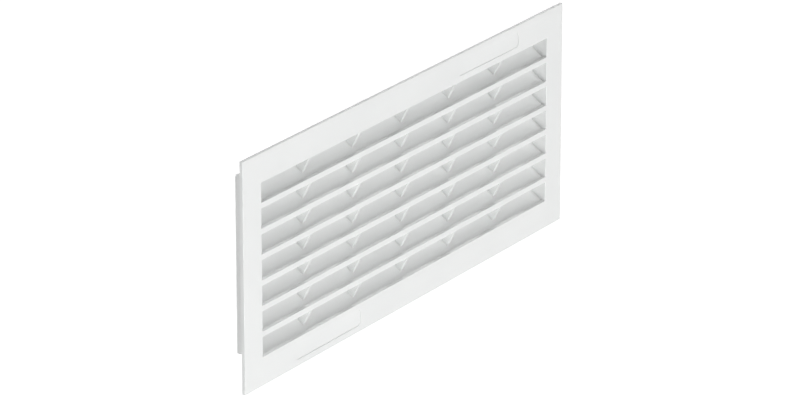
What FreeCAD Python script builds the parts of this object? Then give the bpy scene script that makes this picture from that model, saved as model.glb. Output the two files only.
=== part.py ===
import FreeCAD, Part
import math
import os
import Sketcher
from FreeCAD import Vector

# A louvred ventilation grille moulded in one piece of white plastic. A flat flange covers the
# edge of the cut-out, a collar behind it goes through the panel, and rising blades cross the
# openings with thin upright ribs between them.
#
# Frame: the flange faces -Y, the collar runs towards +Y, +X is right and +Z is up. The origin
# is the centre of the flange's back face, the plane that lies against the panel.

# Driving sizes in millimetres, with angles in degrees and counts as plain numbers.
SIZES = [
    ("flange_width", 310.0, "overall width of the flange"),
    ("flange_height", 130.0, "overall height of the flange"),
    ("flange_thickness", 2.0, "thickness of the flange"),
    ("front_round", 0.25, "rounding along the flange's front edges and at its four corners"),
    ("border", 16.4, "width of the flat border round the openings"),
    ("collar_depth", 13.5, "how far the collar stands out behind the flange"),
    ("collar_wall", 1.6, "wall of the collar"),
    ("collar_corner", 1.2, "outer radius of the collar's corners"),
    ("opening_count", 7, "number of openings, one above the other"),
    ("strip_height", 3.3, "height of the flat front strip of each blade"),
    ("strip_round", 0.15, "rounding along the strip's two front edges"),
    ("ledge_depth", 2.4, "flat ledge on top of the strip before the blade starts to rise"),
    ("ledge_step", 0.4, "drop from the ledge's rear edge to the foot of the rising blade"),
    ("blade_angle", 36.0, "rise of a blade towards the back"),
    ("blade_draft", 0.2, "extra rise of the underside, which thins the blade to the back"),
    ("rear_setback", 0.8, "how far blades and ribs end inside the collar's rear edge"),
    ("rib_count", 5, "number of upright ribs across each opening"),
    ("rib_thickness", 1.8, "thickness of a rib"),
    ("rib_setback", 0.65, "how far a rib starts behind the front face"),
    ("rib_lean", 28.0, "lean of a rib's front edge from upright, its foot to the back"),
    ("recess_length", 61.0, "length of a label recess"),
    ("recess_height", 9.0, "height of a label recess"),
    ("recess_corner", 2.4, "corner radius of a label recess"),
    ("recess_depth", 0.3, "depth of a label recess"),
    ("recess_from_edge", 3.8, "label recess to the nearest long edge of the flange"),
    ("recess_from_side", 46.2, "label recess to the nearest short edge of the flange"),
]

# Sizes that follow from the driving ones.
APERTURE_WIDTH = "(sizes.flange_width - 2 * sizes.border)"
APERTURE_HEIGHT = "(sizes.flange_height - 2 * sizes.border)"
COLLAR_WIDTH = f"({APERTURE_WIDTH} + 2 * sizes.collar_wall)"
COLLAR_HEIGHT = f"({APERTURE_HEIGHT} + 2 * sizes.collar_wall)"
SILL_DROP = f"({APERTURE_HEIGHT} / 2)"
BLADE_PITCH = f"(({APERTURE_HEIGHT} + sizes.strip_height) / sizes.opening_count)"
BLADES_REACH = f"({BLADE_PITCH} * (sizes.opening_count - 1))"
BLADE_REAR = "(sizes.collar_depth - sizes.rear_setback)"
BLADE_LENGTH = f"({APERTURE_WIDTH} + sizes.collar_wall)"
RIB_PITCH = f"(({APERTURE_WIDTH} + sizes.rib_thickness) / (sizes.rib_count + 1))"
OPENING_HEIGHT = f"({BLADE_PITCH} - sizes.strip_height)"
UPPER_DROP = "(sizes.ledge_step + sizes.ledge_depth * tan(sizes.blade_angle * 1 deg))"
MIDLINE_DROP = f"((sizes.strip_height + {UPPER_DROP}) / 2)"

# The numbers that stand for the points of a line or an arc, and a sketch's own origin.
START = 1
END = 2
CENTRE = 3
ORIGIN = (-1, START)

doc = FreeCAD.newDocument("ventilation_grille")
sheet = doc.addObject("Spreadsheet::Sheet", "sizes")
for row, (alias, value, meaning) in enumerate(SIZES, start=1):
    sheet.set(f"A{row}", meaning)
    sheet.set(f"B{row}", str(value))
    sheet.setAlias(f"B{row}", alias)
doc.recompute()

body = doc.addObject("PartDesign::Body", "louvre_grille")
body.Label = "louvre_grille"
body.Placement = FreeCAD.Placement()


def origin_feature(role):
    """The body's own origin plane or axis with this role."""
    return next(item for item in body.Origin.OriginFeatures if item.Role == role)


def new_sketch(name, plane_role):
    """An empty sketch on one of the body's origin planes."""
    sketch = body.newObject("Sketcher::SketchObject", name)
    sketch.AttachmentSupport = [(origin_feature(plane_role), "")]
    sketch.MapMode = "FlatFace"
    return sketch


def line(sketch, start, end):
    """A straight side from one (x, y) pair to another."""
    return sketch.addGeometry(Part.LineSegment(Vector(*start, 0), Vector(*end, 0)), False)


def arc(sketch, centre, radius, start_degrees, end_degrees):
    """A counter-clockwise arc about an (x, y) pair."""
    circle = Part.Circle(Vector(*centre, 0), Vector(0, 0, 1), radius)
    start = math.radians(start_degrees)
    end = math.radians(end_degrees)
    return sketch.addGeometry(Part.ArcOfCircle(circle, start, end), False)


def constrain(sketch, kind, *references):
    """A constraint without a size."""
    sketch.addConstraint(Sketcher.Constraint(kind, *references))


def dimension(sketch, name, kind, *references, near, size):
    """A named size of a sketch, tied to the driving sizes. It is drawn at its near value first."""
    index = sketch.addConstraint(Sketcher.Constraint(kind, *references, near))
    sketch.renameConstraint(index, name)
    sketch.setExpression(f"Constraints.{name}", size)


def value_of(alias):
    """A driving size as a number, for drawing geometry close to its final place."""
    return float(getattr(sheet, alias))


def add_rectangle(sketch, name, width, height):
    """A sharp rectangle centred on the origin. Each size is a pair: near value, expression."""
    half_width = width[0] / 2
    half_height = height[0] / 2
    corners = [
        (-half_width, -half_height),
        (half_width, -half_height),
        (half_width, half_height),
        (-half_width, half_height),
    ]
    bottom, right, top, left = [line(sketch, corners[i], corners[(i + 1) % 4]) for i in range(4)]
    for first, second in ((bottom, right), (right, top), (top, left), (left, bottom)):
        constrain(sketch, "Coincident", first, END, second, START)
    for side in (bottom, top):
        constrain(sketch, "Horizontal", side)
    for side in (left, right):
        constrain(sketch, "Vertical", side)
    constrain(sketch, "Symmetric", bottom, START, top, START, *ORIGIN)
    dimension(
        sketch, f"{name}_width", "DistanceX", bottom, START, bottom, END,
        near=width[0], size=width[1],
    )
    dimension(
        sketch, f"{name}_height", "DistanceY", right, START, right, END,
        near=height[0], size=height[1],
    )


def add_rounded_rectangle(sketch, name, centre, width, height, radius):
    """A rectangle with four equal corner arcs. Each size is a pair: near value, expression.

    Returns the arcs, lower left first, and the sides, bottom first, both counter-clockwise.
    """
    reach_x = width[0] / 2 - radius[0]
    reach_y = height[0] / 2 - radius[0]
    signs = [(-1, -1), (1, -1), (1, 1), (-1, 1)]
    arcs = [
        arc(
            sketch,
            (centre[0] + sign_x * reach_x, centre[1] + sign_y * reach_y),
            radius[0],
            180 + 90 * i,
            270 + 90 * i,
        )
        for i, (sign_x, sign_y) in enumerate(signs)
    ]
    sides = []
    for i in range(4):
        leave = sketch.getPoint(arcs[i], END)
        arrive = sketch.getPoint(arcs[(i + 1) % 4], START)
        sides.append(line(sketch, (leave.x, leave.y), (arrive.x, arrive.y)))
    bottom, right, top, left = sides
    for i in range(4):
        constrain(sketch, "Tangent", arcs[i], END, sides[i], START)
        constrain(sketch, "Tangent", sides[i], END, arcs[(i + 1) % 4], START)
    for side in (bottom, top):
        constrain(sketch, "Horizontal", side)
    for side in (left, right):
        constrain(sketch, "Vertical", side)
    for other in arcs[1:]:
        constrain(sketch, "Equal", arcs[0], other)
    dimension(sketch, f"{name}_corner", "Radius", arcs[0], near=radius[0], size=radius[1])
    dimension(
        sketch, f"{name}_width", "DistanceX", left, START, right, START,
        near=width[0], size=width[1],
    )
    dimension(
        sketch, f"{name}_height", "DistanceY", bottom, START, top, START,
        near=height[0], size=height[1],
    )
    return arcs, sides


def centre_on_origin(sketch, arcs):
    """Puts a rounded rectangle's middle on the sketch's origin."""
    constrain(sketch, "Symmetric", arcs[0], CENTRE, arcs[2], CENTRE, *ORIGIN)


def rounded_edge_names(plate):
    """Names of the plate's edges to round: those round its front face, and its outer corners."""
    box = plate.BoundBox
    tolerance = 1e-4
    names = []
    for number, edge in enumerate(plate.Edges, start=1):
        on_front = edge.BoundBox.YMax - box.YMin < tolerance
        middle = edge.BoundBox.Center
        at_corner = (
            abs(abs(middle.x) - box.XMax) < tolerance and abs(abs(middle.z) - box.ZMax) < tolerance
        )
        if on_front or at_corner:
            names.append(f"Edge{number}")
    return names


# The flange: a flat plate with the aperture cut out and its front edges slightly rounded.
aperture_width = value_of("flange_width") - 2 * value_of("border")
aperture_height = value_of("flange_height") - 2 * value_of("border")
aperture_sizes = ((aperture_width, APERTURE_WIDTH), (aperture_height, APERTURE_HEIGHT))

flange_outline = new_sketch("flange_outline", "XZ_Plane")
flange_sizes = (
    (value_of("flange_width"), "sizes.flange_width"),
    (value_of("flange_height"), "sizes.flange_height"),
)
add_rectangle(flange_outline, "flange", *flange_sizes)
add_rectangle(flange_outline, "aperture", *aperture_sizes)

flange = body.newObject("PartDesign::Pad", "flange")
flange.Profile = flange_outline
flange.setExpression("Length", "sizes.flange_thickness")
doc.recompute()

rounded_flange = body.newObject("PartDesign::Fillet", "rounded_flange")
rounded_flange.Base = (flange, rounded_edge_names(flange.Shape))
rounded_flange.setExpression("Radius", "sizes.front_round")
doc.recompute()

# The collar: a thin wall round the aperture that reaches back through the panel.
collar_sizes = (
    (aperture_width + 2 * value_of("collar_wall"), COLLAR_WIDTH),
    (aperture_height + 2 * value_of("collar_wall"), COLLAR_HEIGHT),
    (value_of("collar_corner"), "sizes.collar_corner"),
)
collar_outline = new_sketch("collar_outline", "XZ_Plane")
collar_arcs, _ = add_rounded_rectangle(collar_outline, "collar", (0, 0), *collar_sizes)
centre_on_origin(collar_outline, collar_arcs)
add_rectangle(collar_outline, "aperture", *aperture_sizes)

collar = body.newObject("PartDesign::Pad", "collar")
collar.Profile = collar_outline
collar.Reversed = True
collar.setExpression("Length", "sizes.collar_depth")
doc.recompute()

# The blades. The profile is drawn once, for the lowest blade, whose strip sinks into the bottom
# border, and is repeated upwards. It runs from the flat front strip over the flat ledge, down a
# small step and up the rising face to the rear edge, and comes back along the underside. A
# channel in the collar's floor first makes room for the lowest blade's step.
front = -value_of("flange_thickness")
rear = value_of("collar_depth") - value_of("rear_setback")
sill = -aperture_height / 2
strip_round = value_of("strip_round")
strip_bottom = sill - value_of("strip_height")
ledge_back = front + value_of("ledge_depth")
foot = sill - value_of("ledge_step")
blade_angle = value_of("blade_angle")
slope = math.tan(math.radians(blade_angle))
round_reach = strip_round / math.tan(math.radians((90 - blade_angle) / 2))

channel_end = ledge_back + value_of("ledge_step") / slope
channel_profile = new_sketch("channel_profile", "YZ_Plane")
channel_sides = [
    line(channel_profile, (ledge_back, foot), (channel_end, foot)),
    line(channel_profile, (channel_end, foot), (channel_end, sill)),
    line(channel_profile, (channel_end, sill), (ledge_back, sill)),
    line(channel_profile, (ledge_back, sill), (ledge_back, foot)),
]
channel_floor, channel_back, channel_mouth, channel_front = channel_sides
for i in range(4):
    constrain(channel_profile, "Coincident", channel_sides[i], END, channel_sides[(i + 1) % 4], START)
for side in (channel_floor, channel_mouth):
    constrain(channel_profile, "Horizontal", side)
for side in (channel_back, channel_front):
    constrain(channel_profile, "Vertical", side)
dimension(
    channel_profile, "front_place", "DistanceX", *ORIGIN, channel_front, START,
    near=ledge_back, size="sizes.ledge_depth - sizes.flange_thickness",
)
dimension(
    channel_profile, "sill_drop", "DistanceY", channel_front, START, *ORIGIN,
    near=-sill, size=SILL_DROP,
)
dimension(
    channel_profile, "ledge_step", "DistanceY", channel_front, END, channel_front, START,
    near=value_of("ledge_step"), size="sizes.ledge_step",
)
dimension(
    channel_profile, "run", "DistanceX", channel_floor, START, channel_floor, END,
    near=channel_end - ledge_back, size="sizes.ledge_step / tan(sizes.blade_angle * 1 deg)",
)
channel = body.newObject("PartDesign::Pocket", "channel")
channel.Profile = channel_profile
channel.SideType = "Symmetric"
channel.setExpression("Length", APERTURE_WIDTH)
doc.recompute()

blade_profile = new_sketch("blade_profile", "YZ_Plane")
strip_face = line(
    blade_profile, (front, strip_bottom + round_reach), (front, sill - strip_round)
)
upper_arc = arc(
    blade_profile, (front + strip_round, sill - strip_round), strip_round, 90, 180
)
ledge = line(blade_profile, (front + strip_round, sill), (ledge_back, sill))
step = line(blade_profile, (ledge_back, sill), (ledge_back, foot))
upper_face = line(
    blade_profile, (ledge_back, foot), (rear, foot + (rear - ledge_back) * slope)
)
rear_edge = line(
    blade_profile,
    (rear, foot + (rear - ledge_back) * slope),
    (rear, strip_bottom + (rear - front) * slope),
)
underside = line(
    blade_profile,
    (rear, strip_bottom + (rear - front) * slope),
    (front + round_reach, strip_bottom + round_reach * slope),
)
lower_arc = arc(
    blade_profile,
    (front + strip_round, strip_bottom + round_reach),
    strip_round,
    180,
    270 + blade_angle,
)
strip_corner = blade_profile.addGeometry(Part.Point(Vector(front, strip_bottom, 0)), True)
constrain(blade_profile, "Vertical", strip_face)
constrain(blade_profile, "Tangent", strip_face, END, upper_arc, END)
constrain(blade_profile, "Tangent", upper_arc, START, ledge, START)
constrain(blade_profile, "Horizontal", ledge)
constrain(blade_profile, "Coincident", ledge, END, step, START)
constrain(blade_profile, "Vertical", step)
constrain(blade_profile, "Coincident", step, END, upper_face, START)
constrain(blade_profile, "Coincident", upper_face, END, rear_edge, START)
constrain(blade_profile, "Vertical", rear_edge)
constrain(blade_profile, "Coincident", rear_edge, END, underside, START)
constrain(blade_profile, "Tangent", underside, END, lower_arc, END)
constrain(blade_profile, "Tangent", lower_arc, START, strip_face, START)
constrain(blade_profile, "Equal", upper_arc, lower_arc)
constrain(blade_profile, "PointOnObject", strip_corner, START, strip_face)
constrain(blade_profile, "PointOnObject", strip_corner, START, underside)
dimension(
    blade_profile, "strip_round", "Radius", upper_arc,
    near=strip_round, size="sizes.strip_round",
)
dimension(
    blade_profile, "front_place", "DistanceX", strip_corner, START, *ORIGIN,
    near=-front, size="sizes.flange_thickness",
)
dimension(
    blade_profile, "rear_place", "DistanceX", *ORIGIN, rear_edge, START,
    near=rear, size=BLADE_REAR,
)
dimension(
    blade_profile, "ledge_depth", "DistanceX", strip_corner, START, ledge, END,
    near=value_of("ledge_depth"), size="sizes.ledge_depth",
)
dimension(
    blade_profile, "ledge_step", "DistanceY", step, END, step, START,
    near=value_of("ledge_step"), size="sizes.ledge_step",
)
dimension(
    blade_profile, "sill_drop", "DistanceY", ledge, END, *ORIGIN,
    near=-sill, size=SILL_DROP,
)
dimension(
    blade_profile, "strip_height", "DistanceY", strip_corner, START, ledge, END,
    near=value_of("strip_height"), size="sizes.strip_height",
)
dimension(
    blade_profile, "blade_angle", "Angle", upper_face,
    near=math.radians(blade_angle), size="sizes.blade_angle * 1 deg",
)
dimension(
    blade_profile, "underside_angle", "Angle", underside,
    near=math.radians(180 + blade_angle + value_of("blade_draft")),
    size="180 deg + (sizes.blade_angle + sizes.blade_draft) * 1 deg",
)

lowest_blade = body.newObject("PartDesign::Pad", "lowest_blade")
lowest_blade.Profile = blade_profile
lowest_blade.SideType = "Symmetric"
lowest_blade.setExpression("Length", BLADE_LENGTH)
doc.recompute()

blades = body.newObject("PartDesign::LinearPattern", "blades")
blades.Originals = [lowest_blade]
blades.Direction = (origin_feature("Z_Axis"), [""])
blades.setExpression("Length", BLADES_REACH)
blades.setExpression("Occurrences", "sizes.opening_count")
body.Tip = blades
doc.recompute()

# The ribs. One rib's stretch across the lowest opening is drawn once and repeated upwards and
# sideways, with equal clear widths between the ribs. Its front edge starts just behind the
# opening's upper edge and leans back to the blade below. Both ends are sunk to the middle of the
# blades they meet.
rib_front = front + value_of("rib_setback")
rib_lean = math.radians(value_of("rib_lean"))
pitch = (aperture_height + value_of("strip_height")) / value_of("opening_count")
opening_top = sill + pitch - value_of("strip_height")
upper_drop = value_of("ledge_step") + value_of("ledge_depth") * slope
midline_front = sill - (value_of("strip_height") + upper_drop) / 2


def midline(depth):
    """Height of the lowest blade's midline at a depth."""
    return midline_front + (depth - front) * slope


foot_distance = (opening_top - midline(rib_front)) / (
    math.cos(rib_lean) + math.sin(rib_lean) * slope
)
rib_corners = [
    (rib_front, midline(rib_front) + pitch),
    (rib_front, opening_top),
    (
        rib_front + foot_distance * math.sin(rib_lean),
        opening_top - foot_distance * math.cos(rib_lean),
    ),
    (rear, midline(rear)),
    (rear, midline(rear) + pitch),
]

rib_profile = new_sketch("rib_profile", "YZ_Plane")
rib_profile.setExpression(
    "AttachmentOffset.Base.z",
    f"{RIB_PITCH} - ({APERTURE_WIDTH} + sizes.rib_thickness) / 2",
)
rib_sides = [line(rib_profile, rib_corners[i], rib_corners[(i + 1) % 5]) for i in range(5)]
rib_stub, rib_edge, lower_end, rib_back, upper_end = rib_sides
sill_corner = rib_profile.addGeometry(Part.Point(Vector(front, sill, 0)), True)
midline_start = rib_profile.addGeometry(Part.Point(Vector(front, midline_front, 0)), True)
for i in range(5):
    constrain(rib_profile, "Coincident", rib_sides[i], END, rib_sides[(i + 1) % 5], START)
constrain(rib_profile, "Vertical", rib_stub)
constrain(rib_profile, "Vertical", rib_back)
constrain(rib_profile, "Parallel", lower_end, upper_end)
constrain(rib_profile, "Vertical", sill_corner, START, midline_start, START)
constrain(rib_profile, "PointOnObject", midline_start, START, lower_end)
dimension(
    rib_profile, "front_place", "DistanceX", sill_corner, START, *ORIGIN,
    near=-front, size="sizes.flange_thickness",
)
dimension(
    rib_profile, "sill_drop", "DistanceY", sill_corner, START, *ORIGIN,
    near=-sill, size=SILL_DROP,
)
dimension(
    rib_profile, "midline_drop", "DistanceY", midline_start, START, sill_corner, START,
    near=sill - midline_front, size=MIDLINE_DROP,
)
dimension(
    rib_profile, "setback", "DistanceX", sill_corner, START, rib_edge, START,
    near=value_of("rib_setback"), size="sizes.rib_setback",
)
dimension(
    rib_profile, "opening_height", "DistanceY", sill_corner, START, rib_edge, START,
    near=opening_top - sill, size=OPENING_HEIGHT,
)
dimension(
    rib_profile, "lean", "Angle", rib_edge,
    near=rib_lean - math.pi / 2, size="(sizes.rib_lean - 90) * 1 deg",
)
dimension(
    rib_profile, "blade_angle", "Angle", lower_end,
    near=math.radians(blade_angle), size="sizes.blade_angle * 1 deg",
)
dimension(
    rib_profile, "rear_place", "DistanceX", *ORIGIN, rib_back, START,
    near=rear, size=BLADE_REAR,
)
dimension(
    rib_profile, "pitch", "DistanceY", rib_back, START, rib_back, END,
    near=pitch, size=BLADE_PITCH,
)

first_rib = body.newObject("PartDesign::Pad", "first_rib")
first_rib.Profile = rib_profile
first_rib.SideType = "Symmetric"
first_rib.setExpression("Length", "sizes.rib_thickness")
doc.recompute()

ribs = body.newObject("PartDesign::LinearPattern", "ribs")
ribs.Originals = [first_rib]
ribs.Direction = (origin_feature("Z_Axis"), [""])
ribs.setExpression("Length", BLADES_REACH)
ribs.setExpression("Occurrences", "sizes.opening_count")
ribs.Direction2 = (origin_feature("X_Axis"), [""])
ribs.setExpression("Length2", f"{RIB_PITCH} * (sizes.rib_count - 1)")
ribs.setExpression("Occurrences2", "sizes.rib_count")
body.Tip = ribs
doc.recompute()

# The collar's outer faces stay flat: what the top ribs and the lowest blade push through its
# walls is cut away behind the flange.
trim_outline = new_sketch("trim_outline", "XZ_Plane")
trim_arcs, _ = add_rounded_rectangle(trim_outline, "collar", (0, 0), *collar_sizes)
centre_on_origin(trim_outline, trim_arcs)
clear = value_of("collar_depth")
add_rectangle(
    trim_outline,
    "outside",
    (value_of("flange_width") + 2 * clear, "sizes.flange_width + 2 * sizes.collar_depth"),
    (value_of("flange_height") + 2 * clear, "sizes.flange_height + 2 * sizes.collar_depth"),
)
trim = body.newObject("PartDesign::Pocket", "trim")
trim.Profile = trim_outline
trim.setExpression("Length", "sizes.collar_depth")
doc.recompute()

# Two shallow recesses for a label in the flange's front face: one at the upper right, and the
# same turned half round at the lower left.
recess_x = value_of("flange_width") / 2 - value_of("recess_from_side") - value_of("recess_length") / 2
recess_z = value_of("flange_height") / 2 - value_of("recess_from_edge") - value_of("recess_height") / 2
recess_sizes = (
    (value_of("recess_length"), "sizes.recess_length"),
    (value_of("recess_height"), "sizes.recess_height"),
    (value_of("recess_corner"), "sizes.recess_corner"),
)
recess_outlines = new_sketch("recess_outlines", "XZ_Plane")
recess_outlines.setExpression("AttachmentOffset.Base.z", "sizes.flange_thickness")
upper_arcs, upper_sides = add_rounded_rectangle(
    recess_outlines, "upper", (recess_x, recess_z), *recess_sizes
)
lower_arcs, _ = add_rounded_rectangle(
    recess_outlines, "lower", (-recess_x, -recess_z), *recess_sizes
)
constrain(recess_outlines, "Symmetric", upper_arcs[0], CENTRE, lower_arcs[2], CENTRE, *ORIGIN)
dimension(
    recess_outlines, "right_end", "DistanceX", *ORIGIN, upper_sides[1], START,
    near=value_of("flange_width") / 2 - value_of("recess_from_side"),
    size="sizes.flange_width / 2 - sizes.recess_from_side",
)
dimension(
    recess_outlines, "top_side", "DistanceY", *ORIGIN, upper_sides[2], START,
    near=value_of("flange_height") / 2 - value_of("recess_from_edge"),
    size="sizes.flange_height / 2 - sizes.recess_from_edge",
)
recesses = body.newObject("PartDesign::Pocket", "recesses")
recesses.Profile = recess_outlines
recesses.setExpression("Length", "sizes.recess_depth")
body.Tip = recesses
doc.recompute()

# Every feature has to have worked before the grille is written out.
failed = [item.Name for item in doc.Objects if {"Invalid", "Error"} & set(item.State)]
if failed:
    raise RuntimeError("these features failed: " + ", ".join(failed))
if recesses.Shape.Volume >= trim.Shape.Volume:
    raise RuntimeError("the recesses cut nothing")

grille = body.Shape
if grille.isNull() or not grille.isValid() or len(grille.Solids) != 1:
    raise RuntimeError("the grille is not one valid solid")

os.makedirs("parts", exist_ok=True)
grille.exportStep(f"parts/{body.Label}.step")
print(f"{body.Label}: {grille.Volume / 1000:.2f} cubic centimetres")
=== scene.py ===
import math

import bpy
import numpy as np
from bpy.props import FloatProperty, FloatVectorProperty, PointerProperty
from mathutils import Matrix, Vector


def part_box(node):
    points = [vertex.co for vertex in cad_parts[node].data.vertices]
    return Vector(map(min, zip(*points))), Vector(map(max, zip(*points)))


bl_info = {
    "name": "Ventilation Grille",
    "version": (1, 0, 0),
    "blender": (4, 5, 0),
    "location": "3D View > Sidebar > Grille",
    "description": "White moulded plastic for the louvre grille, and the studio that it is shown in",
    "category": "Object",
}

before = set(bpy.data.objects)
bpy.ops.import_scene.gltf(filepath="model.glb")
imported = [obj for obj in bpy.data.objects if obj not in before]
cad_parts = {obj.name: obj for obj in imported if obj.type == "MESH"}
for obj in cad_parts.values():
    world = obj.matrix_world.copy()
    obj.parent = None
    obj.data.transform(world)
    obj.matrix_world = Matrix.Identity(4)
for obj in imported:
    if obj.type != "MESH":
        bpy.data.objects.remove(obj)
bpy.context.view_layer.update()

# Width of the camera's sensor, in millimetres.
SENSOR_WIDTH = 36

# Each lamp with its turn from the front, left being negative, its rise, both in degrees, and the
# setting that holds its size.
LAMPS = (
    ("front_lamp", 0, 0, "broad_size"),
    ("corner_lamp", -45, -25, "lamp_size"),
    ("side_lamp", -90, 0, "lamp_size"),
    ("right_lamp", 90, 0, "lamp_size"),
    ("left_back_lamp", -130, 20, "lamp_size"),
    ("right_back_lamp", 124, 20, "lamp_size"),
    ("back_lamp", 180, -20, "broad_size"),
    ("raised_lamp", 180, 40, "lamp_size"),
)


def number(name, default, description, **extra):
    """A plain number that a user can change."""
    return FloatProperty(name=name, description=description, default=default, **extra)


def length(name, default, description):
    """A length in metres that a user can change."""
    return FloatProperty(
        name=name, description=description, default=default, unit="LENGTH", precision=5
    )


def colour(name, default, description):
    """A linear colour that a user can change."""
    return FloatVectorProperty(
        name=name, description=description, default=default, subtype="COLOR",
        size=3, min=0.0, max=1.0,
    )


class GRILLE_PG_plastic(bpy.types.PropertyGroup):
    """Colour and finish of the white moulding."""

    base: colour("Plastic", (0.80, 0.808, 0.803), "Colour of the white plastic")
    shade: colour("Shade", (0.785, 0.794, 0.790), "Colour of the faintly darker flow patches")
    patch_size: length("Patch size", 0.045, "Width of the flow patches in the moulding")
    grain_size: length("Grain size", 0.0006, "Width of the fine grain left by the mould")
    grain_depth: length("Grain depth", 0.000006, "Height of the fine grain")
    smoothest: number("Smoothest", 0.18, "Roughness where the surface is smoothest")
    roughest: number("Roughest", 0.24, "Roughness where the surface is roughest")
    refraction: number("Refraction", 1.49, "Index of refraction of the plastic")
    inner_light: number("Inner light", 0.4, "Share of the light that spreads inside the plastic")
    inner_reach: length("Inner reach", 0.0015, "How far the light inside the plastic spreads")


class GRILLE_PG_studio(bpy.types.PropertyGroup):
    """Camera, floor and lights."""

    azimuth: number("Azimuth", math.radians(-56.274), "Turn of the camera", subtype="ANGLE")
    elevation: number("Elevation", math.radians(20.731), "Height of the camera", subtype="ANGLE")
    distance: length("Distance", 2.6635, "Camera to the middle of the picture")
    lens: number("Lens", 221.23, "Focal length in millimetres on a 36 mm wide sensor")
    aim_right: length("Aim right", -0.00366, "Middle of the picture, right of the origin")
    aim_up: length("Aim up", -0.00459, "Middle of the picture, above the origin")
    floor_drop: length("Floor drop", 2.0, "Floor below the lower edge of the grille")
    floor_size: length("Floor size", 12.0, "Side of the square floor")
    floor_shade: colour("Floor", (0.88, 0.88, 0.88), "Colour of the floor")
    mottle_scale: number("Mottle scale", 3.0, "Patches of mottle across each metre of the floor")
    mottle_shade: number("Mottle shade", 0.98, "Brightness of the mottle against the plain floor")
    floor_glow: number("Floor glow", 1.0, "Light that the floor adds in the camera's sight")
    room_light: number("Room light", 0.08, "Strength of the even light from all round")
    lamp_distance: length("Lamp distance", 2.2, "Each lamp to the middle of the grille")
    lamp_size: length("Lamp size", 1.0, "Side of each smaller square lamp")
    broad_size: length("Broad size", 2.4, "Side of the broad lamps in front and behind")
    front_lamp: number("Front lamp", 42.0, "Power of the lamp in front, in watts")
    corner_lamp: number("Corner lamp", 18.7, "Power of the low lamp at the left front, in watts")
    side_lamp: number("Side lamp", 5.2, "Power of the lamp at the left, in watts")
    right_lamp: number("Right lamp", 10.0, "Power of the lamp at the right, in watts")
    left_back_lamp: number("Left back lamp", 10.1, "Power of the lamp at the left back, in watts")
    right_back_lamp: number(
        "Right back lamp", 3.4,
        "Power of the lamp at the right back, in watts, which the ledges mirror",
    )
    back_lamp: number("Back lamp", 42.0, "Power of the low lamp behind, in watts")
    raised_lamp: number("Raised lamp", 10.1, "Power of the raised lamp behind, in watts")


def new_tree(owner):
    """An owner's emptied node tree, and a function that adds a node to it.

    The function takes the node's type, then settings of the node, then values for its sockets
    by name or number, where a socket of another node stands for a link.
    """
    owner.use_nodes = True
    tree = owner.node_tree
    tree.nodes.clear()

    def add(kind, settings, sockets):
        node = tree.nodes.new(kind)
        for key, value in settings.items():
            setattr(node, key, value)
        for key, value in sockets.items():
            if isinstance(value, bpy.types.NodeSocket):
                tree.links.new(value, node.inputs[key])
            else:
                node.inputs[key].default_value = value
        return node

    return add


def white_plastic(settings):
    """Satin white plastic with faint flow patches and the fine grain of the mould."""
    material = bpy.data.materials.new("white_plastic")
    add = new_tree(material)
    place = add("ShaderNodeTexCoord", {}, {}).outputs["Object"]
    patches = add(
        "ShaderNodeTexNoise", {},
        {"Vector": place, "Scale": 1 / settings.patch_size, "Detail": 3.0, "Roughness": 0.45},
    )
    grain = add(
        "ShaderNodeTexNoise", {},
        {"Vector": place, "Scale": 1 / settings.grain_size, "Detail": 2.0, "Roughness": 0.5},
    )
    amount = add(
        "ShaderNodeMapRange", {},
        {"Value": patches.outputs[0], "From Min": 0.35, "From Max": 0.65},
    )
    tint = add(
        "ShaderNodeMix", {"data_type": "RGBA"},
        {0: amount.outputs[0], 6: (*settings.base, 1), 7: (*settings.shade, 1)},
    )
    roughness = add(
        "ShaderNodeMapRange", {},
        {
            "Value": patches.outputs[0], "From Min": 0.3, "From Max": 0.7,
            "To Min": settings.smoothest, "To Max": settings.roughest,
        },
    )
    bump = add(
        "ShaderNodeBump", {},
        {"Height": grain.outputs[0], "Distance": settings.grain_depth, "Strength": 1.0},
    )
    shader = add(
        "ShaderNodeBsdfPrincipled", {},
        {
            "Base Color": tint.outputs[2], "Roughness": roughness.outputs[0],
            "Normal": bump.outputs[0], "IOR": settings.refraction,
            "Subsurface Weight": settings.inner_light, "Subsurface Radius": (1.0, 1.0, 1.0),
            "Subsurface Scale": settings.inner_reach,
        },
    )
    add("ShaderNodeOutputMaterial", {}, {"Surface": shader.outputs[0]})
    return material


def seen_directly(add):
    """One where a ray comes from the camera, a mirror-like surface or glass, and nought elsewhere."""
    path = add("ShaderNodeLightPath", {}, {})
    first = add(
        "ShaderNodeMath", {"operation": "MAXIMUM"},
        {0: path.outputs["Is Camera Ray"], 1: path.outputs["Is Glossy Ray"]},
    )
    both = add(
        "ShaderNodeMath", {"operation": "MAXIMUM"},
        {0: first.outputs[0], 1: path.outputs["Is Transmission Ray"]},
    )
    return both.outputs[0]


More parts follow.
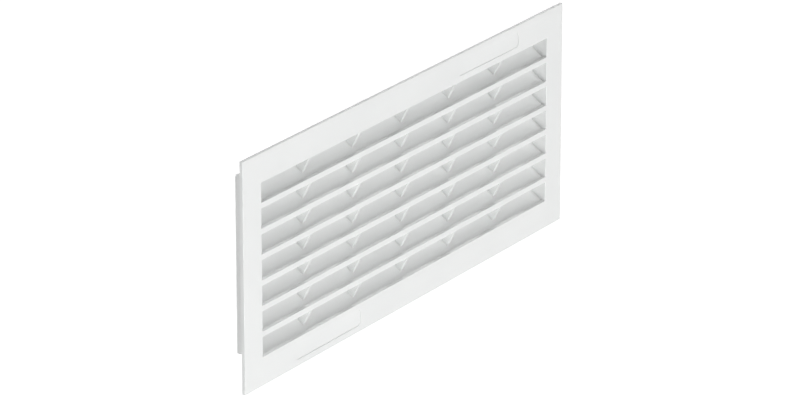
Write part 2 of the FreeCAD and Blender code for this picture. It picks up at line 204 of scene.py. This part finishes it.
def pale_floor(settings):
    """A matt pale floor with a faint mottle, lifted to white in the camera's sight."""
    material = bpy.data.materials.new("pale_floor")
    add = new_tree(material)
    place = add("ShaderNodeTexCoord", {}, {}).outputs["Object"]
    mottle = add(
        "ShaderNodeTexNoise", {},
        {"Vector": place, "Scale": settings.mottle_scale, "Detail": 2.0},
    )
    tint = add(
        "ShaderNodeMix", {"data_type": "RGBA"},
        {
            0: mottle.outputs[0],
            6: (*settings.floor_shade, 1),
            7: (*(settings.mottle_shade * value for value in settings.floor_shade), 1),
        },
    )
    matt = add("ShaderNodeBsdfDiffuse", {}, {"Color": tint.outputs[2], "Roughness": 0.5})
    strength = add(
        "ShaderNodeMath", {"operation": "MULTIPLY"}, {0: seen_directly(add), 1: settings.floor_glow}
    )
    glow = add("ShaderNodeEmission", {}, {"Strength": strength.outputs[0]})
    both = add("ShaderNodeAddShader", {}, {0: matt.outputs[0], 1: glow.outputs[0]})
    add("ShaderNodeOutputMaterial", {}, {"Surface": both.outputs[0]})
    return material


def room_light(settings):
    """Even light from all round, which shows as plain white."""
    world = bpy.data.worlds.new("room_light")
    add = new_tree(world)
    strength = add(
        "ShaderNodeMapRange", {},
        {"Value": seen_directly(add), "To Min": settings.room_light, "To Max": 1.0},
    )
    light = add(
        "ShaderNodeBackground", {}, {"Color": (1, 1, 1, 1), "Strength": strength.outputs[0]}
    )
    add("ShaderNodeOutputWorld", {}, {"Surface": light.outputs[0]})
    bpy.context.scene.world = world


def outward(turn, rise):
    """The direction from the origin at a turn and a rise: turn 0 is in front, and -90 degrees left."""
    return Vector(
        (math.sin(turn) * math.cos(rise), -math.cos(turn) * math.cos(rise), math.sin(rise))
    )


def soft_lamp(settings, name, turn, rise, size):
    """A square lamp that faces the grille from a turn and a rise in degrees."""
    away = outward(math.radians(turn), math.radians(rise))
    lamp = bpy.data.objects.new(name, bpy.data.lights.new(name, "AREA"))
    bpy.context.scene.collection.objects.link(lamp)
    lamp.data.shape = "SQUARE"
    lamp.data.size = getattr(settings, size)
    lamp.data.energy = getattr(settings, name)
    lamp.visible_camera = False
    lamp.location = away * settings.lamp_distance
    lamp.rotation_euler = away.to_track_quat("Z", "Y").to_euler()


def square_floor(settings, height):
    """A flat square at a height: the grid point (u, v) lies at (size u, size v), u and v ±1/2."""
    u, v = np.meshgrid([-0.5, 0.5], [-0.5, 0.5])
    points = np.stack(
        [settings.floor_size * u, settings.floor_size * v, np.full_like(u, height)], axis=-1
    ).reshape(-1, 3)
    mesh = bpy.data.meshes.new("floor")
    mesh.from_pydata(points.tolist(), [], [(0, 1, 3, 2)])
    floor = bpy.data.objects.new("floor", mesh)
    bpy.context.scene.collection.objects.link(floor)
    mesh.materials.append(pale_floor(settings))


def studio_camera(settings):
    """A long-lens camera that looks down on the grille from its left front."""
    back = outward(settings.azimuth, settings.elevation)
    right = Vector((math.cos(settings.azimuth), math.sin(settings.azimuth), 0))
    up = back.cross(right)
    camera = bpy.data.objects.new("camera", bpy.data.cameras.new("camera"))
    bpy.context.scene.collection.objects.link(camera)
    camera.data.sensor_width = SENSOR_WIDTH
    camera.data.sensor_fit = "HORIZONTAL"
    camera.data.lens = settings.lens
    camera.data.clip_start = 0.01
    camera.data.clip_end = 100
    place = right * settings.aim_right + up * settings.aim_up + back * settings.distance
    camera.matrix_world = Matrix.Translation(place) @ Matrix((right, up, back)).transposed().to_4x4()
    bpy.context.scene.camera = camera


class GRILLE_OT_finish_grille(bpy.types.Operator):
    """Gives the one-piece moulding its white plastic"""

    bl_idname = "grille.finish_grille"
    bl_label = "Finish Grille"
    bl_options = {"REGISTER", "UNDO"}

    def execute(self, context):
        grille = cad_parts["louvre_grille"]
        grille.data.materials.clear()
        grille.data.materials.append(white_plastic(context.scene.grille_plastic))
        return {"FINISHED"}


class GRILLE_OT_set_studio(bpy.types.Operator):
    """Sets the camera, the pale floor and the soft light"""

    bl_idname = "grille.set_studio"
    bl_label = "Set Studio"
    bl_options = {"REGISTER", "UNDO"}

    def execute(self, context):
        settings = context.scene.grille_studio
        context.scene.view_settings.view_transform = "Standard"
        low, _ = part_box("louvre_grille")
        square_floor(settings, low.z - settings.floor_drop)
        room_light(settings)
        for lamp in LAMPS:
            soft_lamp(settings, *lamp)
        studio_camera(settings)
        return {"FINISHED"}


class GRILLE_PT_sidebar(bpy.types.Panel):
    """The steps that dress the grille, with their sizes and colours"""

    bl_idname = "GRILLE_PT_sidebar"
    bl_label = "Ventilation Grille"
    bl_space_type = "VIEW_3D"
    bl_region_type = "UI"
    bl_category = "Grille"

    def draw(self, context):
        layout = self.layout
        for step, group in (
            ("grille.finish_grille", context.scene.grille_plastic),
            ("grille.set_studio", context.scene.grille_studio),
        ):
            layout.operator(step)
            for name in group.__annotations__:
                layout.prop(group, name)


CLASSES = (
    GRILLE_PG_plastic,
    GRILLE_PG_studio,
    GRILLE_OT_finish_grille,
    GRILLE_OT_set_studio,
    GRILLE_PT_sidebar,
)


def register():
    for cls in CLASSES:
        bpy.utils.register_class(cls)
    bpy.types.Scene.grille_plastic = PointerProperty(type=GRILLE_PG_plastic)
    bpy.types.Scene.grille_studio = PointerProperty(type=GRILLE_PG_studio)


def unregister():
    del bpy.types.Scene.grille_studio
    del bpy.types.Scene.grille_plastic
    for cls in reversed(CLASSES):
        bpy.utils.unregister_class(cls)


def main():
    """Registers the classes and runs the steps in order."""
    register()
    bpy.ops.grille.finish_grille()
    bpy.ops.grille.set_studio()


if __name__ == "__main__":
    main()
